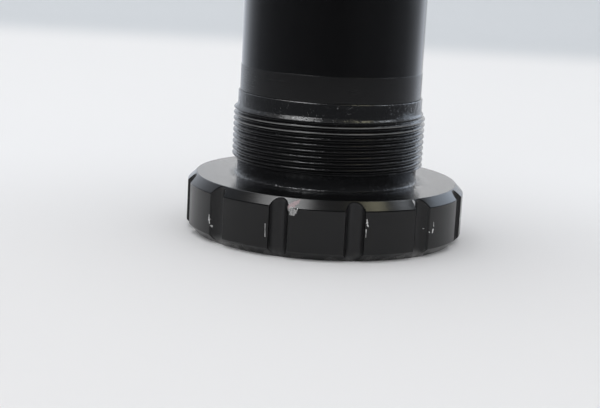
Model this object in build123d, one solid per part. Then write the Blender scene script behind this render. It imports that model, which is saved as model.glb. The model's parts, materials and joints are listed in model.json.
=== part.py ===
"""External-bearing bottom bracket for an English-threaded (BSA) shell and a 30 mm crank axle.

Two notched aluminium cups screw into the ends of the frame's bottom bracket shell. Each holds a sealed
30 x 42 x 7 ball bearing with an extended inner race, closed by a dust cap with a rubber wiper. A thin
centre sleeve plugs into both cups and keeps dirt off the bearings' inner sides.

Frame: millimetres, +Z along the axle from the non-drive cup to the drive cup. The origin is the centre
of the non-drive cup's outer face, on which the assembly stands.

Every piece of one end is drawn as a section (radius, depth), where depth runs inwards from that end's
outer face, and is turned about Z. The drive end is the mirror image of the non-drive end.
"""
import os

from build123d import *

# ---- frame shell, thread and axle ---------------------------------------------------------------
shell_width = 68.0             # between the two flanges, faced shell of a road frame
thread_diameter = 34.8         # 1.37 inch x 24 threads per inch, crest diameter
axle_diameter = 30.0

# ---- neck of the cup, from the thread inwards (steps and walls are radial) -------------------------
thread_length = 9.7
thread_runout = 0.35           # chamfer where the thread leaves the undercut
thread_lead_in = 0.75          # chamfer where the thread enters the shell
undercut_length = 3.1          # relief between the flange and the thread
undercut_step = 1.0            # below the thread's crest
undercut_fillet = 0.4
pilot_length = 2.5             # plain land past the thread
pilot_step = 0.7               # below the thread's crest
pilot_chamfer = 0.15
socket_wall = 0.5              # round the sleeve's spigot
socket_depth = 11.9
neck_ledge = 0.5               # at the bottom of the socket

# ---- flange, from the bearing outwards ---------------------------------------------------------------
mouth_step = 1.0               # the dust cap's seat, wider than the bearing's
mouth_depth = 2.0
flange_wall = 3.2              # round the dust cap
flange_chamfer = 1.5
shoulder_height = 1.3          # behind the bearing's outer race
shoulder_relief = 0.5
web_thickness = 1.4            # between the bearing's shoulder and the flange's shell face
notch_count = 12               # tool notches round the flange
notch_radius = 1.8
notch_depth = 1.4

# ---- bearing -----------------------------------------------------------------------------------------
bearing_section = 6.0          # radial height, bore to outside: a 30 x 42 mm bearing
bearing_width = 7.0
race_extension = 1.6           # how far the inner race stands past the bearing, towards the crank
race_gap = 2.2                 # radial, between the races' shoulders
race_chamfer = 0.3
ball_diameter = 3.5
ball_count = 18
groove_clearance = 0.05        # between ball and raceway
seal_step_width = 0.9          # rebate at the races' edges for the rubber seals
seal_step_height = 0.45
seal_thickness = 0.6
seal_inset = 0.2
cage_side_clearance = 0.35     # to each race's shoulder
cage_end_clearance = 0.3       # to the seal on the shell's side
pocket_clearance = 0.12        # round each ball
prong_reach = 0.55             # how far the prongs grip past the balls' centres
prong_gap = 0.7                # radius of the cut between two prongs

# ---- dust cap, its O-ring and the wiper seal -----------------------------------------------------------
cap_recess = 0.3               # the cap's face below the flange's outer face
cap_plate = 0.9
cap_chamfer = 0.2
cap_rim = 1.6                  # width of the rim that stands on the bearing's outer race
o_ring_section = 0.8
o_ring_groove_width = 0.9
wiper_reach = 1.35             # from the inner race to the dust cap's edge
wiper_wall = 0.5
wiper_flange = 1.3             # width of the wiper's outer lip over the cap

# ---- centre sleeve ---------------------------------------------------------------------------------------
spigot_length = 11.0
sleeve_wall = 0.65             # at the spigot
sleeve_setback = 0.28          # of the turned band, inside the cup's pilot land
sleeve_band = 4.6              # length of the turned band beside each cup
sleeve_relief = 0.05           # of the waist between the two bands

# ---- fits --------------------------------------------------------------------------------------------------
press_gap = 0.02               # between pressed pieces, so that faces stay separate
sliding_gap = 0.05             # radial, between spigot and socket
lip_gap = 0.06                 # between a rubber lip and the race that turns under it

# ---- worked out --------------------------------------------------------------------------------------------
flange_width = mouth_depth + bearing_width + web_thickness
cup_length = flange_width + undercut_length + thread_length + pilot_length
overall_length = shell_width + 2 * flange_width
shoulder_depth = mouth_depth + bearing_width

thread_radius = thread_diameter / 2
undercut_radius = thread_radius - undercut_step
pilot_radius = thread_radius - pilot_step
socket_radius = pilot_radius - socket_wall
neck_bore_radius = socket_radius - neck_ledge

seat_radius = axle_diameter / 2 + bearing_section
mouth_radius = seat_radius + mouth_step
flange_radius = mouth_radius + flange_wall
notch_circle_radius = flange_radius - notch_depth + notch_radius

race_thickness = (bearing_section - race_gap) / 2
inner_shoulder_radius = axle_diameter / 2 + race_thickness
outer_shoulder_radius = seat_radius - race_thickness
inner_step_radius = inner_shoulder_radius - seal_step_height
outer_step_radius = outer_shoulder_radius + seal_step_height
pitch_radius = (inner_shoulder_radius + outer_shoulder_radius) / 2
groove_radius = ball_diameter / 2 + groove_clearance
ball_depth = mouth_depth + bearing_width / 2


def turned(section):
    """A section of (radius, depth) points, closed and turned about Z."""
    outline = Polyline(*[(radius, 0, depth) for radius, depth in section], close=True)
    return revolve(make_face(outline), Axis.Z)


def ring(inner_radius, outer_radius, start, end):
    """A plain ring between two depths."""
    return turned([(inner_radius, start), (outer_radius, start), (outer_radius, end), (inner_radius, end)])


def cup():
    """Flange with tool notches, bearing seat, undercut, thread envelope, pilot land and sleeve socket."""
    thread_start = flange_width + undercut_length
    thread_end = thread_start + thread_length
    socket_floor = cup_length - socket_depth
    body = turned([
        (mouth_radius, 0),
        (flange_radius - flange_chamfer, 0),
        (flange_radius, flange_chamfer),
        (flange_radius, flange_width - flange_chamfer),
        (flange_radius - flange_chamfer, flange_width),
        (undercut_radius, flange_width),
        (undercut_radius, thread_start - thread_runout),
        (thread_radius, thread_start),
        (thread_radius, thread_end - thread_lead_in),
        (pilot_radius, thread_end),
        (pilot_radius, cup_length - pilot_chamfer),
        (pilot_radius - pilot_chamfer, cup_length),
        (socket_radius, cup_length),
        (socket_radius, socket_floor),
        (neck_bore_radius, socket_floor),
        (neck_bore_radius, shoulder_depth + shoulder_relief),
        (seat_radius - shoulder_height, shoulder_depth + shoulder_relief),
        (seat_radius - shoulder_height, shoulder_depth),
        (seat_radius, shoulder_depth),
        (seat_radius, mouth_depth),
        (mouth_radius, mouth_depth),
    ])
    corner = body.edges().filter_by(GeomType.CIRCLE).filter_by(
        lambda edge: abs(edge.radius - undercut_radius) < 1e-6
        and abs(edge.center().Z - flange_width) < 1e-6
    )
    body = fillet(corner, undercut_fillet)
    cutter = Cylinder(notch_radius, flange_width, align=(Align.CENTER, Align.CENTER, Align.MIN))
    return body - PolarLocations(notch_circle_radius, notch_count) * cutter


def raceway():
    """The ring-shaped space that both races' grooves are cut from."""
    return Pos(0, 0, ball_depth) * Torus(pitch_radius, groove_radius)


def outer_race():
    """Outer race with a raceway and a rebate on each side for its seal."""
    outer = seat_radius - press_gap
    return turned([
        (outer_step_radius, mouth_depth),
        (outer - race_chamfer, mouth_depth),
        (outer, mouth_depth + race_chamfer),
        (outer, shoulder_depth - race_chamfer),
        (outer - race_chamfer, shoulder_depth),
        (outer_step_radius, shoulder_depth),
        (outer_step_radius, shoulder_depth - seal_step_width),
        (outer_shoulder_radius, shoulder_depth - seal_step_width),
        (outer_shoulder_radius, mouth_depth + seal_step_width),
        (outer_step_radius, mouth_depth + seal_step_width),
    ]) - raceway()


def inner_race():
    """Inner race, longer than the bearing on the crank's side so that the wiper runs on it."""
    bore = axle_diameter / 2
    start = mouth_depth - race_extension
    return turned([
        (bore + race_chamfer, start),
        (inner_step_radius - race_chamfer, start),
        (inner_step_radius, start + race_chamfer),
        (inner_step_radius, mouth_depth + seal_step_width),
        (inner_shoulder_radius, mouth_depth + seal_step_width),
        (inner_shoulder_radius, shoulder_depth - seal_step_width),
        (inner_step_radius, shoulder_depth - seal_step_width),
        (inner_step_radius, shoulder_depth),
        (bore + race_chamfer, shoulder_depth),
        (bore, shoulder_depth - race_chamfer),
        (bore, start + race_chamfer),
    ]) - raceway()


def balls():
    """The ball set, one solid to a ball."""
    ball = Sphere(ball_diameter / 2)
    return Pos(0, 0, ball_depth) * Compound([place * ball for place in PolarLocations(pitch_radius, ball_count)])


def cage():
    """Crown cage: a ring behind the balls with a snap pocket round each and a gap between prongs."""
    inner = inner_shoulder_radius + cage_side_clearance
    outer = outer_shoulder_radius - cage_side_clearance
    front = ball_depth - prong_reach
    back = shoulder_depth - seal_inset - seal_thickness - cage_end_clearance
    crown = ring(inner, outer, front, back)
    pocket = Sphere(ball_diameter / 2 + pocket_clearance)
    gap = Rot(0, 90, 0) * Cylinder(prong_gap, 2 * (outer - inner))
    half_step = 180 / ball_count
    pockets = Pos(0, 0, ball_depth) * PolarLocations(pitch_radius, ball_count) * pocket
    gaps = Pos(0, 0, front) * PolarLocations(pitch_radius, ball_count, half_step) * gap
    return crown - pockets - gaps


def bearing_seal(start):
    """Flat rubber seal, snapped into the outer race and running on the inner race's step."""
    return ring(inner_step_radius + lip_gap, outer_step_radius - press_gap, start, start + seal_thickness)


def crank_side_seal():
    """The bearing's own seal next to the dust cap."""
    return bearing_seal(mouth_depth + seal_inset)


def shell_side_seal():
    """The bearing's own seal next to the neck."""
    return bearing_seal(shoulder_depth - seal_inset - seal_thickness)


def dust_cap():
    """Pressed-in cover: a plate over the bearing on a rim that stands on the outer race."""
    outer = mouth_radius - press_gap
    bore = inner_step_radius + wiper_reach
    groove_floor = mouth_radius - o_ring_section
    groove_start = (cap_recess + mouth_depth - o_ring_groove_width) / 2
    return turned([
        (bore, cap_recess),
        (outer - cap_chamfer, cap_recess),
        (outer, cap_recess + cap_chamfer),
        (outer, groove_start),
        (groove_floor, groove_start),
        (groove_floor, groove_start + o_ring_groove_width),
        (outer, groove_start + o_ring_groove_width),
        (outer, mouth_depth),
        (outer - cap_rim, mouth_depth),
        (outer - cap_rim, cap_recess + cap_plate),
        (bore, cap_recess + cap_plate),
    ])


def cap_o_ring():
    """O-ring in the dust cap's groove, which grips the mouth of the cup."""
    section_radius = (o_ring_section - press_gap) / 2
    depth = (cap_recess + mouth_depth) / 2
    return Pos(0, 0, depth) * Torus(mouth_radius - o_ring_section / 2, section_radius)


def wiper_seal():
    """Rubber wiper clipped over the dust cap's inner edge, with its lip on the inner race."""
    edge = inner_step_radius + wiper_reach - press_gap
    lip = inner_step_radius + lip_gap
    cap_back = cap_recess + cap_plate + press_gap
    back = cap_back + wiper_wall / 2
    middle = (cap_recess + cap_back) / 2
    return turned([
        (lip, middle - wiper_wall / 4),
        (edge - wiper_wall, cap_recess),
        (edge, cap_recess),
        (edge, cap_back),
        (edge + wiper_flange, cap_back),
        (edge + wiper_flange, back),
        (edge - wiper_wall, back),
        (lip, middle + wiper_wall / 4),
    ])


def centre_sleeve():
    """Tube between the cups, with a spigot in each socket and a turned band beside each cup."""
    spigot = socket_radius - sliding_gap
    bore = spigot - sleeve_wall
    band = pilot_radius - sleeve_setback
    waist = band - sleeve_relief
    end = overall_length - cup_length
    return turned([
        (bore, cup_length - spigot_length),
        (spigot, cup_length - spigot_length),
        (spigot, cup_length),
        (band, cup_length),
        (band, cup_length + sleeve_band),
        (waist, cup_length + sleeve_band),
        (waist, end - sleeve_band),
        (band, end - sleeve_band),
        (band, end),
        (spigot, end),
        (spigot, end + spigot_length),
        (bore, end + spigot_length),
    ])


def at_drive_end(piece):
    """The same piece at the other end of the axle, facing the other way."""
    return Pos(0, 0, overall_length) * mirror(piece, Plane.XY)


end_pieces = {
    "cup": cup,
    "outer_race": outer_race,
    "inner_race": inner_race,
    "balls": balls,
    "ball_cage": cage,
    "crank_side_seal": crank_side_seal,
    "shell_side_seal": shell_side_seal,
    "dust_cap": dust_cap,
    "cap_o_ring": cap_o_ring,
    "wiper_seal": wiper_seal,
}

os.makedirs("parts", exist_ok=True)
for name, make in end_pieces.items():
    piece = make()
    export_step(piece, f"parts/non_drive_{name}.step")
    export_step(at_drive_end(piece), f"parts/drive_{name}.step")
export_step(centre_sleeve(), "parts/centre_sleeve.step")
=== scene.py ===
"""Looks of an external-cup bottom bracket: two notched cups, their bearings and dust caps, and the sleeve.

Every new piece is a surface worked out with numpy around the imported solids, in metres. Turned pieces are
outlines of (radius, depth), where depth runs inwards from an end's outer face, carried once about Z.
"""
import json
import math

import bpy
import numpy as np
from bpy.props import FloatProperty, FloatVectorProperty, IntProperty, PointerProperty
from mathutils import Matrix, Vector


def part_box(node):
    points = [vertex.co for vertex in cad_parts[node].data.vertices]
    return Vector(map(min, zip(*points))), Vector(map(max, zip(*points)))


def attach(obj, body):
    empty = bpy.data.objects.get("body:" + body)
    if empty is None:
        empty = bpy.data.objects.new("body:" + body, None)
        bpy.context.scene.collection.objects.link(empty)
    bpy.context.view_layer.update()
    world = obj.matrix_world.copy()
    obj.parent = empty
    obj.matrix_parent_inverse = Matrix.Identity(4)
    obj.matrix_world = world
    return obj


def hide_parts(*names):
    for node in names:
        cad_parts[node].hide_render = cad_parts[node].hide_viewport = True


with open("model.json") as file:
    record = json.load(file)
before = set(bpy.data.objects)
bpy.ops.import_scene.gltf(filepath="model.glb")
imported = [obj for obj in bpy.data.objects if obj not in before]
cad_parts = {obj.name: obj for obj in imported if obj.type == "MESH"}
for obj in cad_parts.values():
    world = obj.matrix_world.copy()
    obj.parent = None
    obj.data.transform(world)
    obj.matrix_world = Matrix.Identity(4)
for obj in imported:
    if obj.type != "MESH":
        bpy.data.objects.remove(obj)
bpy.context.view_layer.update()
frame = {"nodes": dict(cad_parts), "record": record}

bl_info = {
    "name": "External Cup Bottom Bracket",
    "version": (1, 0, 0),
    "blender": (4, 5, 0),
    "location": "3D View > Sidebar > Bottom Bracket",
    "description": "Cups, bearings, dust caps and centre sleeve of a bicycle bottom bracket",
    "category": "Mesh",
}

MM = 0.001
FULL_TURN = 2 * math.pi
ENDS = ("non_drive", "drive")
MOUNTS = {mount["name"]: mount for mount in frame["record"]["mounts"]}
NOTCHES = MOUNTS["non_drive_tool_notches"]["dims"]


def outer_radius(node):
    """How far a ring-shaped node reaches from the axis."""
    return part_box(node)[1].x


def near_depth(node):
    """Depth of a non-drive node's face next to the crank."""
    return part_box(node)[0].z


def far_depth(node):
    """Depth of a non-drive node's face next to the shell."""
    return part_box(node)[1].z


def length(name, default, description):
    return FloatProperty(name=name, default=default, description=description, subtype="DISTANCE", unit="LENGTH")


def angle(name, degrees, description):
    return FloatProperty(name=name, default=math.radians(degrees), description=description, subtype="ANGLE")


def colour(name, default, description):
    return FloatVectorProperty(name=name, default=default, description=description, subtype="COLOR", min=0, max=1)


# ---- sizes and colours ---------------------------------------------------------------------------

class CupSizes(bpy.types.PropertyGroup):
    """Sizes of the threaded cups."""

    flange_radius: length("Flange Radius", 25.2 * MM, "Outside of the flange")
    flange_chamfer: length("Flange Chamfer", 1.5 * MM, "Bevel round both edges of the flange")
    flange_width: length("Flange Width", MOUNTS["non_drive_shell_face"]["pos_m"][2], "Outer face to shell face")
    notch_count: IntProperty(name="Notches", default=NOTCHES["count"], min=3, description="Tool notches")
    notch_radius: length("Notch Radius", NOTCHES["hole_r_mm"] * MM, "Radius of each tool notch")
    notch_circle: length("Notch Circle", NOTCHES["pcd_mm"] * MM / 2, "Radius of the circle of notch centres")
    undercut_radius: length("Undercut Radius", 16.4 * MM, "Relief between flange and thread")
    undercut_fillet: length("Undercut Fillet", 0.6 * MM, "Fillet and grease where the neck meets the flange")
    thread_radius: length("Thread Radius", MOUNTS["non_drive_shell_thread"]["dims"]["r_mm"] * MM, "Crest radius")
    thread_pitch: length("Thread Pitch", 25.4 / 24 * MM, "One turn of the thread, 24 to the inch")
    thread_start: length("Thread Start", 13.15 * MM, "Depth where the thread leaves the undercut")
    thread_end: length("Thread End", 23.2 * MM, "Depth where the thread meets the pilot land")
    thread_runout: length("Thread Run-out", 0.35 * MM, "Chamfer where the thread leaves the undercut")
    thread_lead_in: length("Thread Lead-in", 0.75 * MM, "Chamfer where the thread enters the shell")
    crest_depth: length("Crest Depth", 21.75 * MM, "Depth of one crest at the notch on the -Y side")
    pilot_radius: length("Pilot Radius", 16.7 * MM, "Plain land past the thread")
    socket_radius: length("Socket Radius", 16.2 * MM, "Bore that takes the sleeve")
    socket_depth: length("Socket Depth", 11.9 * MM, "Depth of that bore")
    neck_bore: length("Neck Bore Radius", 15.7 * MM, "Bore behind the bearing")
    shoulder_bore: length("Shoulder Bore Radius", 19.7 * MM, "Bore of the bearing's shoulder")
    shoulder_relief: length("Shoulder Relief", 0.5 * MM, "Depth of that bore")
    seat_radius: length("Seat Radius", 21 * MM, "Bearing seat")
    mouth_radius: length("Mouth Radius", 22 * MM, "Dust cap seat")
    edge: length("Edge Break", 0.12 * MM, "Rounding of machined edges")


class TrimSizes(bpy.types.PropertyGroup):
    """Sizes of the sleeve, the races, the dust caps and the wipers."""

    axle_radius: length("Axle Radius", MOUNTS["non_drive_axle_seat"]["dims"]["r_mm"] * MM, "Inner race bore")
    race_chamfer: length("Race Chamfer", 0.3 * MM, "Bevel on the races")
    race_shoulder: length("Race Shoulder", 16.9 * MM, "Inner race between its seal steps")
    ball_circle: length("Ball Circle Radius", 18 * MM, "Circle of the balls' centres")
    raceway: length("Raceway Radius", 1.8 * MM, "Groove that the balls roll in")
    race_step: length("Race Step", 16.45 * MM, "Inner race at its seal steps")
    seal_step: length("Seal Step", 0.9 * MM, "Width of each seal step on the races")
    cap_bore: length("Dust Cap Bore", 17.8 * MM, "Radius of the dust cap's inner edge")
    cap_plate: length("Dust Cap Plate", 0.9 * MM, "Thickness of the dust cap")
    cap_rim: length("Dust Cap Rim", 1.6 * MM, "Width of the rim on the bearing")
    groove_width: length("Groove Width", 0.9 * MM, "O-ring groove in the dust cap")
    groove_depth: length("Groove Depth", 0.78 * MM, "O-ring groove in the dust cap")
    wiper_lip: length("Wiper Lip Radius", 16.51 * MM, "Inner edge of the wiper")
    sleeve_band: length("Sleeve Band", 4.6 * MM, "Turned band at each end of the sleeve")
    sleeve_relief: length("Sleeve Relief", 0.05 * MM, "Waist between the bands")
    sleeve_bore: length("Sleeve Bore Radius", 15.5 * MM, "Bore of the sleeve")
    spigot_gap: length("Spigot Gap", 0.05 * MM, "Between the sleeve's spigot and the cup's socket")
    wiper_gap: length("Wiper Gap", 0.02 * MM, "Between the wiper and the dust cap that it is clipped on")
    wiper_body: length("Wiper Body", 0.5 * MM, "Width of the wiper inside the dust cap's edge")
    lip_width: length("Wiper Lip Width", 0.25 * MM, "Width of the wiper's inner edge along the axle")


class Finishes(bpy.types.PropertyGroup):
    """Colours of the pieces and the stage."""

    anodised: colour("Anodised Black", (0.003, 0.003, 0.0032), "Cups")
    milled: colour("Milled Black", (0.011, 0.011, 0.0115), "Tool notches")
    # Painted light as well as grease: this colour is lifted to stand in for glare light, so the shaded undercut and
    # the pilot land read lighter.
    greasy: colour("Greasy Black", (0.0105, 0.0108, 0.0115), "Thread and neck")
    # The scuffed colour also carries a painted reflection: on the low bevel it is laid on more towards the sides as
    # seen from the camera.
    scuffed_and_reflection: colour("Scuffed Black", (0.15, 0.15, 0.148), "Cups where the anodising is rubbed")
    bare: colour("Bare Aluminium", (0.72, 0.72, 0.71), "Cups where the anodising is chipped off")
    smear: colour("Smear", (0.3, 0.2, 0.21), "Smear of another bike's paint on a cup")
    sleeve: colour("Sleeve Black", (0.0042, 0.0042, 0.0045), "Centre sleeve")
    band: colour("Sleeve Band", (0.0085, 0.0085, 0.0088), "Turned bands of the sleeve")
    steel: colour("Bearing Steel", (0.56, 0.56, 0.57), "Races and balls")
    rubber: colour("Seal Rubber", (0.022, 0.022, 0.023), "Seals, O-rings and wipers")
    plastic: colour("Cap Plastic", (0.018, 0.018, 0.019), "Dust caps and ball cages")
    table: colour("Table", (0.8, 0.8, 0.8), "Floor")
    wall: colour("Wall", (0.62, 0.65, 0.675), "Foot of the backdrop")
    backdrop: colour("Backdrop", (0.86, 0.87, 0.88), "Backdrop")


class CameraPlace(bpy.types.PropertyGroup):
    """Where the camera stands and how it is turned."""

    distance: length("Distance", 260.168 * MM, "From the aim point")
    aim_height: length("Aim Height", 20 * MM, "Point on the axis that the camera circles")
    azimuth: angle("Azimuth", -12.4, "About the axle, from the -Y side")
    elevation: angle("Elevation", 8.065, "Above the horizontal")
    pan: angle("Pan", -0.975, "Turn to the right of the aim point")
    tilt: angle("Tilt", -3.294, "Turn upwards from the aim point")
    roll: angle("Roll", 3.214, "Turn about the line of sight")
    lens: FloatProperty(name="Lens", default=85.4, description="Focal length in millimetres")


# ---- surfaces ------------------------------------------------------------------------------------

ARC_STEPS = 3
WELD = 0.0005 * MM


def softened(corners, radii):
    """Open outline with soft corners. corners is (corner, column, radius and depth).

    Each inner corner P becomes the parabola (1-s)^2 A + 2s(1-s) P + s^2 B, where A and B lie on its two
    sides, one radius away but never past 45% of a side. One more point beyond A and B holds the flat sides
    flat under smooth shading.
    """
    here, before, after = corners[1:-1], corners[:-2], corners[2:]
    back, ahead = before - here, after - here
    back_length = np.linalg.norm(back, axis=2, keepdims=True)
    ahead_length = np.linalg.norm(ahead, axis=2, keepdims=True)
    reach = np.minimum(np.minimum(back_length, ahead_length) * 0.45, np.asarray(radii)[:, None, None])
    start = here + back / back_length * reach
    end = here + ahead / ahead_length * reach
    share = np.linspace(0, 1, ARC_STEPS + 1)[None, :, None, None]
    curve = (1 - share) ** 2 * start[:, None] + 2 * share * (1 - share) * here[:, None] + share**2 * end[:, None]
    first = (start + back / back_length * reach * 0.1)[:, None]
    last = (end + ahead / ahead_length * reach * 0.1)[:, None]
    rows = np.concatenate([first, curve, last], axis=1)
    rows = rows.reshape(-1, *corners.shape[1:])
    return np.concatenate([corners[:1], rows, corners[-1:]])


def columns_of(section, angles):
    """The same outline of (radius, depth) pairs at every column."""
    return np.repeat(np.asarray(section, float)[:, None], len(angles), axis=1)


def swept(rows, angles, closed):
    """Points (radius cos angle, radius sin angle, depth) of rows carried about Z, with a quad between
    each row and the next. closed joins the last row to the first."""
    radius, depth = rows[..., 0], rows[..., 1]
    points = np.stack([radius * np.cos(angles), radius * np.sin(angles), depth], axis=-1)
    count, width = radius.shape
    index = np.arange(count * width).reshape(count, width)
    following = np.roll(index, -1, axis=0) if closed else index[1:]
    current = index if closed else index[:-1]
    quads = np.stack([current[:, :-1], current[:, 1:], following[:, 1:], following[:, :-1]], axis=-1)
    return points.reshape(-1, 3), quads.reshape(-1, 4)


def mirrored(points, quads):
    """The same surface at the drive end: depth counted down from the top, and every face turned over."""
    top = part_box("drive_cup")[1].z
    return points * (1, 1, -1) + (0, 0, top), quads[:, ::-1]


def merged(points, quads):
    """Points at the same place become one, and faces that this leaves without area go."""
    keys = np.round(points / WELD).astype(np.int64)
    _, first, group = np.unique(keys, axis=0, return_index=True, return_inverse=True)
    quads = group.reshape(-1)[quads]
    repeats = quads == np.roll(quads, -1, axis=1)
    whole = quads[repeats.sum(axis=1) == 0]
    folded = quads[repeats.sum(axis=1) == 1]
    keep = ~repeats[repeats.sum(axis=1) == 1]
    return points[first], whole, folded[keep].reshape(-1, 3)


def build(name, surface, body, slot, material, *nodes):
    """A piece from a surface: its mesh at the origin, its body and the nodes it stands for. The slot is not used."""
    points, quads, triangles = merged(*surface)
    mesh = bpy.data.meshes.new(name)
    mesh.vertices.add(len(points))
    mesh.vertices.foreach_set("co", points.astype(np.float32).ravel())
    mesh.loops.add(quads.size + triangles.size)
    mesh.loops.foreach_set("vertex_index", np.concatenate([quads.ravel(), triangles.ravel()]).astype(np.int32))
    sizes = np.repeat([4, 3], [len(quads), len(triangles)])
    mesh.polygons.add(len(sizes))
    mesh.polygons.foreach_set("loop_start", (np.cumsum(sizes) - sizes).astype(np.int32))
    mesh.polygons.foreach_set("use_smooth", np.ones(len(sizes), bool))
    mesh.update(calc_edges=True)
    mesh.validate()
    piece = bpy.data.objects.new(name, mesh)
    bpy.context.scene.collection.objects.link(piece)
    mesh.materials.append(material)
    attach(piece, body)
    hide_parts(*nodes)
    return piece


def at_end(end, surface):
    return surface if end == "non_drive" else mirrored(*surface)


def even_angles(count=192):
    return np.linspace(0, FULL_TURN, count + 1)


def turned_surface(section, edge, angles=None):
    """A closed outline with softened corners, carried once about Z. The outline starts mid-side."""
    angles = even_angles() if angles is None else angles
    corners = columns_of([*section, section[0]], angles)
    return swept(softened(corners, [edge] * (len(section) - 1))[:-1], angles, closed=True)


def notched_outline(sizes):
    """Angle and radius of the flange's edge once about Z.

    One sector runs from the middle of one land to the next, past one notch. It is the flange's circle, then
    a parabola round the notch's corner, then the notch's own circle, mirrored about the notch's middle. The
    points on both circles keep clear of the parabola.
    """
    flange, notch, centre = sizes.flange_radius, sizes.notch_radius, sizes.notch_circle
    cosine = (flange**2 + centre**2 - notch**2) / (2 * flange * centre)
    corner_angle = math.acos(cosine)
    corner = np.array([math.sin(corner_angle), cosine]) * flange
    notch_angle = math.atan2(corner[0], centre - corner[1])
    along_land = np.array([cosine, -math.sin(corner_angle)])
    down_wall = np.array([corner[1] - centre, -corner[0]]) / notch
    reach = sizes.edge
    clear = 1.3 * reach
    share = np.linspace(0, 1, ARC_STEPS + 1)[:, None]
    wall_point, land_point = corner + down_wall * reach, corner + along_land * reach
    bend = (1 - share) ** 2 * wall_point + 2 * share * (1 - share) * corner + share**2 * land_point
    turn = np.linspace(0, notch_angle - clear / notch, 5)[:, None]
    bottom = np.concatenate([notch * np.sin(turn), centre - notch * np.cos(turn)], axis=1)
    half_sector = math.pi / sizes.notch_count
    land_turn = np.linspace(corner_angle + clear / flange, half_sector, 6)[:, None]
    land = np.concatenate([np.sin(land_turn), np.cos(land_turn)], axis=1) * flange
    half = np.concatenate([bottom, bend, land])
    half_angle = np.arctan2(half[:, 0], half[:, 1])
    half_radius = np.hypot(half[:, 0], half[:, 1])
    sector_angle = np.concatenate([-half_angle[:0:-1], half_angle[:-1]])
    sector_radius = np.concatenate([half_radius[:0:-1], half_radius[:-1]])
    starts = np.arange(sizes.notch_count)[:, None] * 2 * half_sector
    angles = (sector_angle + starts).ravel() - math.pi / 2
    radii = np.tile(sector_radius, sizes.notch_count)
    return np.append(angles, angles[0] + FULL_TURN), np.append(radii, radii[0])


def thread_rows(sizes, angles):
    """The thread between the undercut and the pilot land, as rows that climb with the helix.

    A row keeps one place t across the pitch, from -1/2 to 1/2 with the crest at 0. The crest and the root
    are arcs of a sixth of the pitch, and straight flanks at 60 degrees to each other join them. Depth is
    crest depth + pitch (turn + t + angle / full turn), held between the thread's ends, and the radius is cut
    down to the chamfers there.
    """
    across = np.array([-0.42, -0.356, -0.144, -0.1, -0.05, 0, 0.05, 0.1, 0.144, 0.356, 0.42, 0.5])
    pitch, arc = sizes.thread_pitch, 1 / 6
    arc_half = arc * math.sin(math.radians(60))
    distance = np.abs(across)
    crest = arc - np.sqrt(np.maximum(arc**2 - distance**2, 0))
    flank = arc / 2 + (distance - arc_half) / math.tan(math.radians(30))
    thread_depth = arc + (0.5 - 2 * arc_half) / math.tan(math.radians(30))
    root = thread_depth - arc + np.sqrt(np.maximum(arc**2 - (0.5 - distance) ** 2, 0))
    drop = np.where(distance < arc_half, crest, np.where(distance > 0.5 - arc_half, root, flank))
    climb = (angles + math.pi / 2) / FULL_TURN
    first = math.floor((sizes.thread_start - sizes.crest_depth) / pitch - climb.max()) - 1
    last = math.ceil((sizes.thread_end - sizes.crest_depth) / pitch - climb.min()) + 1
    turns = (np.arange(first, last)[:, None] + across).ravel()[:, None]
    depth = sizes.crest_depth + pitch * (turns + climb)
    depth = np.clip(depth, sizes.thread_start, sizes.thread_end)
    radius = sizes.thread_radius - pitch * np.tile(drop, last - first)[:, None]
    runout = (depth - sizes.thread_start) / sizes.thread_runout
    lead_in = (sizes.thread_end - depth) / sizes.thread_lead_in
    low = sizes.undercut_radius + (sizes.thread_radius - sizes.undercut_radius) * runout
    high = sizes.pilot_radius + (sizes.thread_radius - sizes.pilot_radius) * lead_in
    return np.stack([np.minimum(np.minimum(radius, low), high), depth], axis=-1)


def cup_surface(sizes):
    """The whole cup: an outline from the pilot land round the nose, through the bore and the mouth, over
    the notched flange and down the undercut, with the thread's rows closing it."""
    angles, rim = notched_outline(sizes)
    inner_rim = sizes.flange_radius - sizes.flange_chamfer
    across = rim - inner_rim
    cup_length = far_depth("non_drive_cup")
    shoulder = far_depth("non_drive_outer_race")
    mouth_depth = near_depth("non_drive_outer_race")
    socket_floor = cup_length - sizes.socket_depth
    nose_chamfer = 0.15 * MM
    section = [
        (sizes.pilot_radius, sizes.thread_end, 0),
        (sizes.pilot_radius, cup_length - nose_chamfer, sizes.edge / 2),
        (sizes.pilot_radius - nose_chamfer, cup_length, sizes.edge / 2),
        (sizes.socket_radius, cup_length, sizes.edge),
        (sizes.socket_radius, socket_floor, sizes.edge),
        (sizes.neck_bore, socket_floor, sizes.edge),
        (sizes.neck_bore, shoulder + sizes.shoulder_relief, sizes.edge),
        (sizes.shoulder_bore, shoulder + sizes.shoulder_relief, sizes.edge),
        (sizes.shoulder_bore, shoulder, sizes.edge),
        (sizes.seat_radius, shoulder, sizes.edge),
        (sizes.seat_radius, mouth_depth, sizes.edge),
        (sizes.mouth_radius, mouth_depth, sizes.edge),
        (sizes.mouth_radius, 0, sizes.edge),
        (inner_rim, 0, sizes.edge),
        (rim, across, sizes.edge),
        (rim, sizes.flange_width - across, sizes.edge),
        (inner_rim, sizes.flange_width, sizes.edge),
        (sizes.undercut_radius, sizes.flange_width, sizes.undercut_fillet),
        (sizes.undercut_radius, sizes.thread_start, 0),
    ]
    corners = np.stack([np.stack(np.broadcast_arrays(r, z, angles)[:2], axis=-1) for r, z, _ in section])
    outline = softened(corners, [edge for *_, edge in section[1:-1]])
    rows = np.concatenate([outline, thread_rows(sizes, angles)])
    return swept(rows, angles, closed=True)


# ---- shader maths --------------------------------------------------------------------------------

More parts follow.
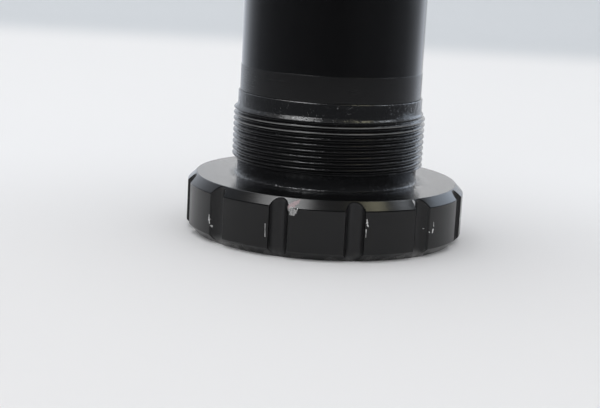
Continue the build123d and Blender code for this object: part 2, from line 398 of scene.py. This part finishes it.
class Wire:
    """A shader socket that Python's operators work on: an expression adds the Math nodes it needs."""

    def __init__(self, tree, socket=None):
        self.tree = tree
        self.socket = socket

    def add(self, kind, settings=None, sockets=None, output=0):
        """Add a node: its settings first, a ramp's stops among them, then its sockets' values or links."""
        node = self.tree.nodes.new(kind)
        for name, value in (settings or {}).items():
            if name == "stops":
                ramp = node.color_ramp.elements
                ramp.remove(ramp[1])
                ramp[0].position, ramp[0].color = value[0]
                for place, shade in value[1:]:
                    ramp.new(place).color = shade
            else:
                setattr(node, name, value)
        for name, value in (sockets or {}).items():
            if isinstance(value, Wire):
                self.tree.links.new(value.socket, node.inputs[name])
            else:
                node.inputs[name].default_value = value
        return Wire(self.tree, node.outputs[output])

    def maths(self, operation, *values):
        return self.add("ShaderNodeMath", {"operation": operation}, dict(enumerate(values)))

    def __add__(self, other):
        return self.maths("ADD", self, other)

    def __sub__(self, other):
        return self.maths("SUBTRACT", self, other)

    def __rsub__(self, other):
        return self.maths("SUBTRACT", other, self)

    def __mul__(self, other):
        return self.maths("MULTIPLY", self, other)

    def __truediv__(self, other):
        return self.maths("DIVIDE", self, other)

    def __pow__(self, other):
        return self.maths("POWER", self, other)

    __radd__ = __add__
    __rmul__ = __mul__

    def absolute(self):
        return self.maths("ABSOLUTE", self)

    def at_least(self, other):
        return self.maths("MAXIMUM", self, other)

    def half_turned(self):
        """The same angle, from minus half a turn to half a turn."""
        return self.maths("WRAP", self, math.pi, -math.pi)

    def between(self, low, high):
        """0 at low, 1 at high, eased in between."""
        return self.add("ShaderNodeMapRange", {"interpolation_type": "SMOOTHSTEP"},
                        {"Value": self, "From Min": low, "From Max": high})

    def mixed(self, first, second):
        """A colour that goes from first to second as this wire goes from 0 to 1."""
        return self.add("ShaderNodeMix", {"data_type": "RGBA"}, {0: self, 6: first, 7: second}, output=2)

    def noise(self, scale, detail):
        """Fractal noise over a vector wire, from about 0 to 1."""
        return self.add("ShaderNodeTexNoise", None, {"Vector": self, "Scale": scale, "Detail": detail})


class Surface:
    """A new material with its Principled shader and the places that its patterns are made from."""

    def __init__(self, name, **constants):
        self.material = bpy.data.materials.new(name)
        self.material.use_nodes = True
        tree = self.material.node_tree
        self.shader = tree.nodes["Principled BSDF"]
        for socket, value in constants.items():
            self.shader.inputs[socket.replace("_", " ")].default_value = value
        self.place = Wire(tree).add("ShaderNodeTexCoord", output="Object")
        split = self.place.add("ShaderNodeSeparateXYZ", None, {0: self.place}).socket.node
        self.x, self.y, self.z = (Wire(tree, split.outputs[axis]) for axis in "XYZ")
        self.radius = (self.x * self.x + self.y * self.y) ** 0.5
        self.turn = self.y.maths("ARCTAN2", self.y, self.x)

    def vector(self, x, y, z):
        return self.place.add("ShaderNodeCombineXYZ", None, {0: x, 1: y, 2: z})

    def feed(self, **wires):
        for socket, wire in wires.items():
            self.material.node_tree.links.new(wire.socket, self.shader.inputs[socket.replace("_", " ")])

    def bump(self, height, distance):
        """Relief from a height wire: distance is what a height of 1 stands for, in metres."""
        self.feed(Normal=height.add("ShaderNodeBump", None, {"Height": height, "Distance": distance}))

    def turning_marks(self, spacing):
        """Rings left by a lathe tool: noise over (radius, depth), nearly the same all the way round."""
        return self.vector(self.radius, self.z, self.turn * (0.12 * MM)).noise(1 / spacing, 3)


def opaque(rgb):
    return (*rgb, 1)


# Worn places on the cup's outside, as strokes: azimuth in degrees from the -Y side and height in millimetres at
# both ends, then the half width at each end in millimetres. CHIPS and NICK are bare metal.
CHIPS = (
    (-64.6, 5.1, -64.5, 4.5, 0.05, 0.17),
    (-64.4, 4.2, -64.2, 3.5, 0.22, 0.1),
    (-63.7, 3.1, -63.6, 2.9, 0.1, 0.05),
    (-57.3, 9.75, -57.5, 9.3, 0.12, 0.07),
    (-57.5, 9.3, -58.6, 8.2, 0.06, 0.04),
    (-35.2, 5.7, -35.0, 3.5, 0.05, 0.09),
    (-22.5, 8.9, -22.7, 8.5, 0.1, 0.05),
    (4.5, 7.6, 4.6, 7.0, 0.06, 0.18),
    (4.9, 6.6, 5.2, 6.4, 0.14, 0.07),
    (4.4, 5.9, 4.4, 4.5, 0.08, 0.04),
    (36.8, 6.2, 36.9, 5.5, 0.04, 0.1),
    (36.7, 4.9, 36.4, 4.4, 0.2, 0.12),
    (34.5, 4.5, 34.2, 4.6, 0.1, 0.06),
    (33.0, 5.1, 32.8, 5.1, 0.07, 0.05),
    (64.8, 5.8, 65.3, 4.6, 0.1, 0.3),
    (111.0, 6.2, 111.2, 5.0, 0.05, 0.15),
    (153.0, 3.2, 153.2, 3.7, 0.24, 0.14),
    (155.0, 4.1, 155.2, 4.2, 0.07, 0.05),
    (-124.0, 6.1, -125.2, 4.3, 0.3, 0.06),
    (-94.5, 2.6, -95.0, 1.6, 0.1, 0.25),
)
DENT = (
    (-25.9, 8.8, -23.5, 8.4, 0.5, 0.42),
    (-24.9, 8.0, -24.1, 7.9, 0.36, 0.3),
    (26.6, 9.4, 26.9, 10.1, 0.12, 0.25),
)
SMEAR = (
    (-26.4, 8.9, -24.4, 9.6, 0.34, 0.3),
    (-24.2, 9.5, -22.3, 10.1, 0.4, 0.16),
)
NICK = (-7.8, 25.0, -7.8, 25.05, 0.08, 0.08)

# Where one finish on a cup gives way to the next: from and to, in metres.
NOTCH_EDGE = (0.1 * MM, 0.4 * MM)
BEVEL_END = (1.44 * MM, 1.48 * MM)
LOW_EDGE = (0.2 * MM, 1.9 * MM)
# Painted reflection: the low bevel's scuffed colour grows across the camera's view between these distances from its
# line of sight, measured square to the camera's azimuth, and stands in for the floor seen at a grazing angle.
REFLECTION_SIDES = (5 * MM, 19 * MM)
CAMERA_ACROSS_AZIMUTH = math.radians(12)
DARK_THREAD_END = (22.4 * MM, 22.6 * MM)
POLISHED_CRESTS = (20.1 * MM, 20.2 * MM)
GREASE_RADIUS = (17.4 * MM, 18 * MM)
GREASE_DEPTH = (11.1 * MM, 11.4 * MM)


def stroke(surface, radius, ends, ragged):
    """1 inside a tapered stroke and 0 outside.

    The distance to the stroke is divided by the half width at the nearest place along it, and a fine
    noise pushes the edge in and out.
    """
    azimuth, height, other_azimuth, other_height, width, other_width = ends
    across, up = math.radians(other_azimuth - azimuth) * radius / MM, other_height - height
    u = (surface.turn - math.radians(azimuth - 90)).half_turned() * (radius / MM)
    v = surface.z / MM - height
    squared_length = across**2 + up**2
    along = u * (across / squared_length) + v * (up / squared_length)
    place = along.add("ShaderNodeClamp", None, {"Value": along})
    distance = ((u - place * across) ** 2 + (v - place * up) ** 2) ** 0.5
    return 1 - (distance / (width + place * (other_width - width)) + ragged).between(0.75, 1.05)


def strokes(surface, radius, marks, ragged):
    """The union of several strokes."""
    total = stroke(surface, radius, marks[0], ragged)
    for ends in marks[1:]:
        total = total.at_least(stroke(surface, radius, ends, ragged))
    return total


def cup_places(surface, sizes, depth):
    """Masks for the places on a cup that are finished differently.

    The notch is what lies inside the flange's bevelled edge, which is the flange's radius less the bevel. The
    polished crests are the first turns that enter the shell, and the foot is where the neck meets the flange.
    """
    flange = surface.radius.between(sizes.thread_radius + 3.2 * MM, sizes.thread_radius + 3.4 * MM)
    neck = 1 - surface.radius.between(sizes.thread_radius + 0.4 * MM, sizes.thread_radius + 1.6 * MM)
    neck = neck * surface.radius.between(sizes.socket_radius + 0.05 * MM, sizes.undercut_radius - 0.05 * MM)

    middle = sizes.flange_width / 2
    bevel = ((depth - middle).absolute() - (middle - sizes.flange_chamfer)).at_least(0)
    inset = sizes.flange_radius - bevel - surface.radius
    notch = inset.between(*NOTCH_EDGE) * (1 - bevel.between(*BEVEL_END)) * flange

    low_edge = 1 - depth.between(*LOW_EDGE)
    # Rubbed wear on the low bevel, painted lighter towards the sides as seen from the camera: there the lighter
    # colour is a painted reflection of the floor at a grazing angle.
    camera_side_reflection = surface.x * math.cos(CAMERA_ACROSS_AZIMUTH) - surface.y * math.sin(CAMERA_ACROSS_AZIMUTH)
    camera_side_reflection = camera_side_reflection.absolute().between(*REFLECTION_SIDES)
    rubbed = low_edge * flange * surface.place.noise(500, 4).between(0.32, 0.62) * (0.3 + camera_side_reflection * 0.7)

    threads = depth.between(sizes.thread_start, sizes.thread_start + 0.3 * MM) * (1 - depth.between(*DARK_THREAD_END))
    crests = surface.radius.between(sizes.thread_radius - 0.05 * MM, sizes.thread_radius - 0.01 * MM)
    polished = crests * depth.between(*POLISHED_CRESTS) * neck
    foot = (1 - surface.radius.between(*GREASE_RADIUS)) * (1 - depth.between(*GREASE_DEPTH)) * neck
    return flange, neck, notch, rubbed, threads, polished, foot


def anodised_aluminium(finishes, sizes, name, worn):
    """Satin black anodising with faint lathe rings, rubbed notches and edges, and an oily thread whose crests are
    polished. The rubbed colour on the low edge is partly painted reflection: it is laid on more towards the sides as
    seen from the camera, where the floor would show at a grazing angle. A worn one is chipped, dented and smeared as
    well, and its edges are rubbed more."""
    surface = Surface(name, IOR=1.4)
    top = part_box("drive_cup")[1].z
    depth = surface.z if name.startswith("non_drive") else top - surface.z
    flange, neck, notch, rubbed, threads, polished, foot = cup_places(surface, sizes, depth)
    rubbed = rubbed * (0.9 if worn else 0.16)
    rings = surface.turning_marks(0.14 * MM)
    smudges = surface.place.noise(160, 3)
    polished = polished * (0.5 + 0.4 * smudges.between(0.35, 0.6))

    shade = notch.mixed(opaque(finishes.anodised), opaque(finishes.milled))
    # The pilot land, undercut and neck take the greasy colour, which holds painted glare light as well as grease; the
    # thread takes less of it.
    shade = (neck * (1 - threads * 0.8)).mixed(shade, opaque(finishes.greasy))
    # Rubbed wear, the painted reflection on the low bevel's sides and the polished crests take the scuffed colour.
    shade = rubbed.at_least(polished).mixed(shade, opaque(finishes.scuffed_and_reflection))
    roughness = 0.13 + rings * 0.07 + smudges * 0.05 + rubbed * 0.08 + notch * 0.1 - neck * 0.05
    oil = surface.place.noise(1300, 4).between(0.45, 0.75) * neck
    beads = surface.place.noise(2600, 5).between(0.58, 0.74) * surface.place.noise(420, 2).between(0.48, 0.6) * neck
    grease = surface.place.noise(1500, 3).between(0.35, 0.7) * foot
    relief = rings * 0.35 + oil * 2.2 + beads * 6 + grease * 4
    if worn:
        grit = surface.place.noise(2400, 4) - 0.5
        dent = strokes(surface, sizes.flange_radius, DENT, (surface.place.noise(6000, 2) - 0.5) * 1.4) * flange
        dent_grain = 0.26 + 0.26 * surface.place.noise(4000, 3).between(0.4, 0.62)
        smear = strokes(surface, sizes.flange_radius, SMEAR, grit * 2.6) * flange
        chips = strokes(surface, sizes.flange_radius, CHIPS, grit * 2.4) * flange
        bare = chips.at_least(stroke(surface, sizes.pilot_radius, NICK, grit * 0.3))
        shade = (dent * dent_grain).mixed(shade, opaque(finishes.bare))
        shade = (smear * 0.7).mixed(shade, opaque(finishes.smear))
        shade = bare.mixed(shade, opaque(finishes.bare))
        roughness = roughness + dent * 0.2 + smear * 0.25 + bare * 0.2
        relief = relief - bare * 2.4
        surface.feed(Metallic=bare)
    surface.feed(Base_Color=shade, Roughness=roughness)
    surface.bump(relief, 0.012 * MM)
    return surface.material


def sleeve_black(finishes, trim):
    """Smooth black, a little more satin on the two turned bands."""
    surface = Surface("sleeve_black", IOR=1.45)
    middle = (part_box("centre_sleeve")[0].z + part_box("centre_sleeve")[1].z) / 2
    band_start = middle - far_depth("non_drive_cup") - trim.sleeve_band
    band = (surface.z - middle).absolute().between(band_start - 0.05 * MM, band_start + 0.05 * MM)
    rings = surface.turning_marks(0.22 * MM)
    smudges = surface.place.noise(120, 3)
    shade = band.mixed(opaque(finishes.sleeve), opaque(finishes.band))
    surface.feed(Base_Color=shade, Roughness=0.1 + band * 0.12 + rings * 0.04 + smudges * 0.05)
    surface.bump(rings, 0.003 * MM)
    return surface.material


def ground_steel(finishes, name, roughness):
    """Bright steel with fine grinding rings."""
    surface = Surface(name, Metallic=1.0)
    rings = surface.turning_marks(0.09 * MM)
    tint = rings.between(0.3, 0.7).mixed(opaque(finishes.steel), opaque([c * 1.2 for c in finishes.steel]))
    surface.feed(Base_Color=tint, Roughness=roughness + rings * 0.12)
    surface.bump(rings, 0.002 * MM)
    return surface.material


def moulded(name, rgb, roughness, grain, height):
    """Moulded rubber or plastic: a fine grain, and a dusty bloom in patches."""
    surface = Surface(name, IOR=1.48)
    fine = surface.place.noise(1 / grain, 3)
    bloom = surface.place.noise(220, 4).between(0.4, 0.75)
    surface.feed(Base_Color=bloom.mixed(opaque(rgb), opaque([c * 1.9 for c in rgb])),
                 Roughness=roughness + fine * 0.15 + bloom * 0.08)
    surface.bump(fine, height)
    return surface.material


# ---- operators -----------------------------------------------------------------------------------

def dress(nodes, material):
    """Give CAD nodes whose shape stays a finished material."""
    for name in nodes:
        node = frame["nodes"][name]
        node.data.materials.clear()
        node.data.materials.append(material)


class BB_OT_add_cups(bpy.types.Operator):
    """Add both threaded cups, right-hand thread on the non-drive side and left-hand on the drive side"""

    bl_idname = "bottom_bracket.add_cups"
    bl_label = "Add Cups"

    def execute(self, context):
        scene = context.scene
        sizes, finishes = scene.cup_sizes, scene.finishes
        surface = cup_surface(sizes)
        for end in ENDS:
            material = anodised_aluminium(finishes, sizes, f"{end}_anodised", worn=end == "non_drive")
            build(f"{end}_threaded_cup", at_end(end, surface), f"{end}_side", "black_anodised_aluminium",
                  material, f"{end}_cup")
        return {"FINISHED"}


class BB_OT_add_sleeve(bpy.types.Operator):
    """Add the centre sleeve that joins the two cups"""

    bl_idname = "bottom_bracket.add_sleeve"
    bl_label = "Add Centre Sleeve"

    def execute(self, context):
        scene = context.scene
        sizes, trim = scene.cup_sizes, scene.trim_sizes
        low, high = (corner.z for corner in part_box("centre_sleeve"))
        band = outer_radius("centre_sleeve")
        waist = band - trim.sleeve_relief
        spigot = sizes.socket_radius - trim.spigot_gap
        start = far_depth("non_drive_cup")
        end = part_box("drive_cup")[0].z
        section = [
            (trim.sleeve_bore, (low + high) / 2),
            (trim.sleeve_bore, low),
            (spigot, low),
            (spigot, start),
            (band, start),
            (band, start + trim.sleeve_band),
            (waist, start + trim.sleeve_band),
            (waist, end - trim.sleeve_band),
            (band, end - trim.sleeve_band),
            (band, end),
            (spigot, end),
            (spigot, high),
            (trim.sleeve_bore, high),
        ]
        build("sleeve_tube", turned_surface(section, 0.08 * MM), "centre_sleeve", "sleeve_plastic",
              sleeve_black(scene.finishes, trim), "centre_sleeve")
        return {"FINISHED"}


class BB_OT_add_bearings(bpy.types.Operator):
    """Add the inner races, and finish the outer races, balls, cages and seals"""

    bl_idname = "bottom_bracket.add_bearings"
    bl_label = "Add Bearings"

    def execute(self, context):
        scene = context.scene
        trim, finishes = scene.trim_sizes, scene.finishes
        steel = ground_steel(finishes, "bearing_steel", 0.2)
        near, far = near_depth("non_drive_inner_race"), far_depth("non_drive_inner_race")
        bearing_near = near_depth("non_drive_outer_race")
        bore, step, chamfer = trim.axle_radius, trim.race_step, trim.race_chamfer
        ball_depth = (bearing_near + far_depth("non_drive_outer_race")) / 2
        half_arc = math.acos((trim.ball_circle - trim.race_shoulder) / trim.raceway)
        raceway = [
            (trim.ball_circle - trim.raceway * math.cos(turn), ball_depth + trim.raceway * math.sin(turn))
            for turn in np.linspace(-half_arc, half_arc, 9)
        ]
        section = [
            (bore, (near + far) / 2),
            (bore, near + chamfer),
            (bore + chamfer, near),
            (step - chamfer, near),
            (step, near + chamfer),
            (step, bearing_near + trim.seal_step),
            (trim.race_shoulder, bearing_near + trim.seal_step),
            *raceway,
            (trim.race_shoulder, far - trim.seal_step),
            (step, far - trim.seal_step),
            (step, far),
            (bore + chamfer, far),
            (bore, far - chamfer),
        ]
        surface = turned_surface(section, 0.06 * MM)
        for end in ENDS:
            build(f"{end}_race", at_end(end, surface), f"{end}_inner_race", "bearing_steel", steel,
                  f"{end}_inner_race")
        dress([f"{end}_outer_race" for end in ENDS], steel)
        dress([f"{end}_balls" for end in ENDS], ground_steel(finishes, "ball_steel", 0.06))
        dress([f"{end}_ball_cage" for end in ENDS],
              moulded("cage_nylon", finishes.plastic, 0.5, 0.08 * MM, 0.006 * MM))
        dress([f"{end}_{side}_side_seal" for end in ENDS for side in ("crank", "shell")],
              moulded("bearing_seal", finishes.rubber, 0.6, 0.05 * MM, 0.008 * MM))
        return {"FINISHED"}


class BB_OT_add_dust_caps(bpy.types.Operator):
    """Add the dust caps and the wipers, and finish their O-rings"""

    bl_idname = "bottom_bracket.add_dust_caps"
    bl_label = "Add Dust Caps"

    def execute(self, context):
        scene = context.scene
        trim, finishes = scene.trim_sizes, scene.finishes
        near, far = near_depth("non_drive_dust_cap"), far_depth("non_drive_dust_cap")
        outer = outer_radius("non_drive_dust_cap")
        groove = (near + far - trim.groove_width) / 2
        cap_section = [
            (outer, (near + groove) / 2),
            (outer, groove),
            (outer - trim.groove_depth, groove),
            (outer - trim.groove_depth, groove + trim.groove_width),
            (outer, groove + trim.groove_width),
            (outer, far),
            (outer - trim.cap_rim, far),
            (outer - trim.cap_rim, near + trim.cap_plate),
            (trim.cap_bore, near + trim.cap_plate),
            (trim.cap_bore, near),
            (outer, near),
        ]
        wiper_far = far_depth("non_drive_wiper_seal")
        edge = trim.cap_bore - trim.wiper_gap
        body = edge - trim.wiper_body
        cap_back = near + trim.cap_plate + trim.wiper_gap
        middle = (near + cap_back) / 2
        wiper_section = [
            (outer_radius("non_drive_wiper_seal"), (cap_back + wiper_far) / 2),
            (outer_radius("non_drive_wiper_seal"), wiper_far),
            (body, wiper_far),
            (trim.wiper_lip, middle + trim.lip_width / 2),
            (trim.wiper_lip, middle - trim.lip_width / 2),
            (body, near),
            (edge, near),
            (edge, cap_back),
            (outer_radius("non_drive_wiper_seal"), cap_back),
        ]
        cap = moulded("dust_cap_plastic", finishes.plastic, 0.42, 0.1 * MM, 0.01 * MM)
        rubber = moulded("wiper_rubber", finishes.rubber, 0.58, 0.06 * MM, 0.008 * MM)
        for end in ENDS:
            for piece, section, slot, material in (
                ("dust_cap", cap_section, "dust_cap_plastic", cap),
                ("wiper_seal", wiper_section, "wiper_rubber", rubber),
            ):
                surface = turned_surface(section[::-1], 0.08 * MM)
                build(f"{end}_{piece}_piece", at_end(end, surface), f"{end}_side", slot, material, f"{end}_{piece}")
        dress([f"{end}_cap_o_ring" for end in ENDS],
              moulded("o_ring_rubber", finishes.rubber, 0.3, 0.1 * MM, 0.003 * MM))
        return {"FINISHED"}


# Direction in the camera's azimuth, distance, size, radiance and tint. Only the key lights matt surfaces; the
# rest are what the glossy ones reflect.
LAMPS = (
    ("key", (-0.3, 0.15, 0.93), 0.8, (0.8, 0.8), 0.5, (1.0, 1.0, 1.0)),
    ("overhead", (-0.34, -0.05, 0.94), 0.5, (0.27, 0.2), 5.2, (1.0, 1.0, 1.0)),
    ("warm_card", (0.35, -0.05, 0.93), 0.5, (0.09, 0.16), 4.2, (1.0, 0.95, 0.66)),
    ("window_card", (0.6, 0.26, 0.76), 0.5, (0.14, 0.2), 5.5, (0.87, 0.93, 1.0)),
    ("front_card", (-0.33, -0.35, 0.87), 0.5, (0.18, 0.14), 16.0, (0.95, 0.97, 1.0)),
    ("back_card", (0.0, 0.97, 0.24), 0.5, (0.5, 0.16), 0.42, (1.0, 1.0, 1.0)),
)


def lamp(name, turn, towards, distance, size, radiance, tint):
    """A soft rectangular lamp that faces the origin from a direction in the camera's azimuth."""
    width, height = size
    light = bpy.data.lights.new(name, "AREA")
    light.shape = "RECTANGLE"
    light.size, light.size_y = size
    light.energy = radiance * math.pi * width * height
    light.color = tint
    holder = bpy.data.objects.new(name, light)
    bpy.context.scene.collection.objects.link(holder)
    direction = turn @ Vector(towards).normalized()
    facing = (-direction).to_track_quat("-Z", "Y").to_matrix().to_4x4()
    holder.matrix_world = Matrix.Translation(direction * distance) @ facing
    return holder


def camera_matrix(place):
    """The camera circles the axis at its distance and elevation, then pans, tilts and rolls in place."""
    c, s = math.cos, math.sin
    e, pan, tilt, roll = place.elevation, place.pan, place.tilt, place.roll
    forward = Vector((0, c(e), -s(e)))
    right = Vector((1, 0, 0))
    up = right.cross(forward)
    forward, right = c(pan) * forward + s(pan) * right, c(pan) * right - s(pan) * forward
    forward, up = c(tilt) * forward + s(tilt) * up, c(tilt) * up - s(tilt) * forward
    right, up = c(roll) * right + s(roll) * up, c(roll) * up - s(roll) * right
    where = Vector((0, -place.distance * c(e), place.aim_height + place.distance * s(e)))
    turned = Matrix((right, up, -forward)).transposed().to_4x4()
    return Matrix.Rotation(place.azimuth, 4, "Z") @ Matrix.Translation(where) @ turned


def stage_piece(name, points, quads, material):
    """A plain mesh for the stage, with one material."""
    mesh = bpy.data.meshes.new(name)
    mesh.from_pydata(points.tolist(), [], quads.tolist())
    mesh.materials.append(material)
    piece = bpy.data.objects.new(name, mesh)
    bpy.context.scene.collection.objects.link(piece)
    return piece


def add_backdrop(turn, finishes):
    """A floor that curves up into a backdrop behind the object.

    One strip across at each distance. The height is 0.25 m times the cube of how far along the bend a strip is, and
    the paper changes from the table's colour to the wall's and then to the backdrop's. Behind the object the table's
    colour is painted halfway to the backdrop's: painted light that makes the far floor brighter.
    """
    across = np.linspace(-2.2, 2.2, 3)
    along = np.concatenate([[-2.2, 0.2], np.linspace(0.42, 0.6, 12), [0.62, 0.64]])
    rise = np.concatenate([[0, 0], 0.25 * np.linspace(0, 1, 12) ** 3, [1.2, 2.2]])
    grid_x, grid_y = np.meshgrid(across, along)
    grid_z = np.repeat(rise[:, None], len(across), axis=1)
    points = np.stack([grid_x, grid_y, grid_z], axis=-1).reshape(-1, 3) @ np.array(turn.to_3x3()).T
    index = np.arange(len(points)).reshape(grid_x.shape)
    quads = np.stack([index[:-1, :-1], index[:-1, 1:], index[1:, 1:], index[1:, :-1]], axis=-1).reshape(-1, 4)
    paper = Surface("pale_paper", Roughness=0.9, Specular_IOR_Level=0.2)
    behind = turn.to_3x3() @ Vector((0, 1, 0))
    depth = paper.x * behind.x + paper.y * behind.y
    # Painted light: the floor is painted lighter behind the object, halfway to the backdrop's colour.
    shade = (depth.between(-0.06, 0.08) * 0.5).mixed(opaque(finishes.table), opaque(finishes.backdrop))
    shade = depth.between(0.34, 0.46).mixed(shade, opaque(finishes.wall))
    paper.feed(Base_Color=paper.z.between(0.02, 0.08).mixed(shade, opaque(finishes.backdrop)))
    floor = stage_piece("floor", points, quads, paper.material)
    floor.data.polygons.foreach_set("use_smooth", np.ones(len(quads), bool))


# What the glossy sides face: azimuth from the camera in degrees, and brightness.
SURROUND = ((-156, 1.1), (-134, 1.12), (-117, 0.62), (-100, 0.3), (-75, 0.16), (-45, 0.085), (-19, 0.05), (0, 0.03),
            (10, 0.03), (34, 0.08), (62, 0.12), (96, 0.3), (112, 0.56), (122, 0.78), (134, 1.28), (150, 1.25))
COOL = (0.94, 1.0, 1.1)
WINDOW_GLOW = (1.9, 2.15, 2.5)
SCREEN_RADIUS, SCREEN_HEIGHT = 0.135, 0.16


def add_dark_screen(azimuth):
    """A low round screen that only reflections see, dark towards the camera and open at the back."""
    angles = even_angles(96)
    rows = columns_of([(SCREEN_RADIUS, 0), (SCREEN_RADIUS, SCREEN_HEIGHT)], angles)
    points, quads = swept(rows, angles, closed=False)
    felt = Surface("screen_felt", Roughness=1.0, Specular_IOR_Level=0.0, Base_Color=opaque((0, 0, 0)),
                   Emission_Strength=1.0)
    facing = (felt.turn + (math.pi / 2 - azimuth)).half_turned() / FULL_TURN + 0.5
    stops = [(degrees / 360 + 0.5, opaque([brightness * c for c in COOL])) for degrees, brightness in SURROUND]
    glow = facing.add("ShaderNodeValToRGB", {"stops": stops}, {"Fac": facing})
    window = facing.between(0.77, 0.79) * (1 - facing.between(0.912, 0.92)) * felt.z.between(0.04, 0.046)
    glow = (window * (1 - felt.z.between(0.1, 0.106))).mixed(glow, opaque(WINDOW_GLOW))
    back = facing.between(0.07, 0.03) + facing.between(0.9, 0.94)
    felt.feed(Emission_Color=glow, Alpha=1 - back)
    screen = stage_piece("dark_screen", points, quads, felt.material)
    for ray in ("visible_camera", "visible_diffuse", "visible_shadow", "visible_transmission"):
        setattr(screen, ray, False)


WORLD_COLOUR = (0.985, 0.985, 1.0)
CAMERA_DIMMING = 0.2
REFLECTION_DIMMING = 0.74


def light_world(scene):
    """A pale world: full as light, a little dimmer to the camera and much dimmer in reflections."""
    world = bpy.data.worlds.new("studio")
    world.use_nodes = True
    background = world.node_tree.nodes["Background"]
    background.inputs["Color"].default_value = opaque(WORLD_COLOUR)
    rays = Wire(world.node_tree)
    seen = rays.add("ShaderNodeLightPath", output="Is Camera Ray")
    glossy = rays.add("ShaderNodeLightPath", output="Is Glossy Ray")
    strength = 1 - seen * CAMERA_DIMMING - glossy * REFLECTION_DIMMING
    world.node_tree.links.new(strength.socket, background.inputs["Strength"])
    scene.world = world


class BB_OT_add_stage(bpy.types.Operator):
    """Add the floor and backdrop, the lamps and the camera"""

    bl_idname = "bottom_bracket.add_stage"
    bl_label = "Add Stage"

    def execute(self, context):
        scene = context.scene
        place, finishes = scene.camera_place, scene.finishes
        camera = bpy.data.objects.new("camera", bpy.data.cameras.new("camera"))
        camera.data.lens = place.lens
        camera.data.clip_start = 0.01
        camera.matrix_world = camera_matrix(place)
        scene.collection.objects.link(camera)
        scene.camera = camera
        turn = Matrix.Rotation(place.azimuth, 4, "Z")

        add_backdrop(turn, finishes)
        add_dark_screen(place.azimuth)
        light_world(scene)
        for name, towards, distance, size, radiance, tint in LAMPS:
            holder = lamp(name, turn, towards, distance, size, radiance, tint)
            holder.visible_diffuse = name == "key"
            holder.visible_glossy = name != "key"
        scene.view_settings.view_transform = "Standard"
        return {"FINISHED"}


class BB_PT_panel(bpy.types.Panel):
    """Lists the steps that make the bottom bracket"""

    bl_idname = "BB_PT_panel"
    bl_label = "Bottom Bracket"
    bl_space_type = "VIEW_3D"
    bl_region_type = "UI"
    bl_category = "Bottom Bracket"

    def draw(self, context):
        for operator in OPERATORS:
            self.layout.operator(operator.bl_idname)
        for group in GROUPS:
            box = self.layout.box()
            owner = getattr(context.scene, group)
            for name in GROUPS[group].__annotations__:
                box.prop(owner, name)


GROUPS = {"cup_sizes": CupSizes, "trim_sizes": TrimSizes, "finishes": Finishes, "camera_place": CameraPlace}
OPERATORS = (BB_OT_add_stage, BB_OT_add_cups, BB_OT_add_sleeve, BB_OT_add_bearings, BB_OT_add_dust_caps)


def register():
    for cls in (*GROUPS.values(), *OPERATORS, BB_PT_panel):
        bpy.utils.register_class(cls)
    for name, cls in GROUPS.items():
        setattr(bpy.types.Scene, name, PointerProperty(type=cls))


def unregister():
    for name in GROUPS:
        delattr(bpy.types.Scene, name)
    for cls in reversed((*GROUPS.values(), *OPERATORS, BB_PT_panel)):
        bpy.utils.unregister_class(cls)


def main():
    register()
    for operator in OPERATORS:
        group, name = operator.bl_idname.split(".")
        getattr(getattr(bpy.ops, group), name)()


if __name__ == "__main__":
    main()
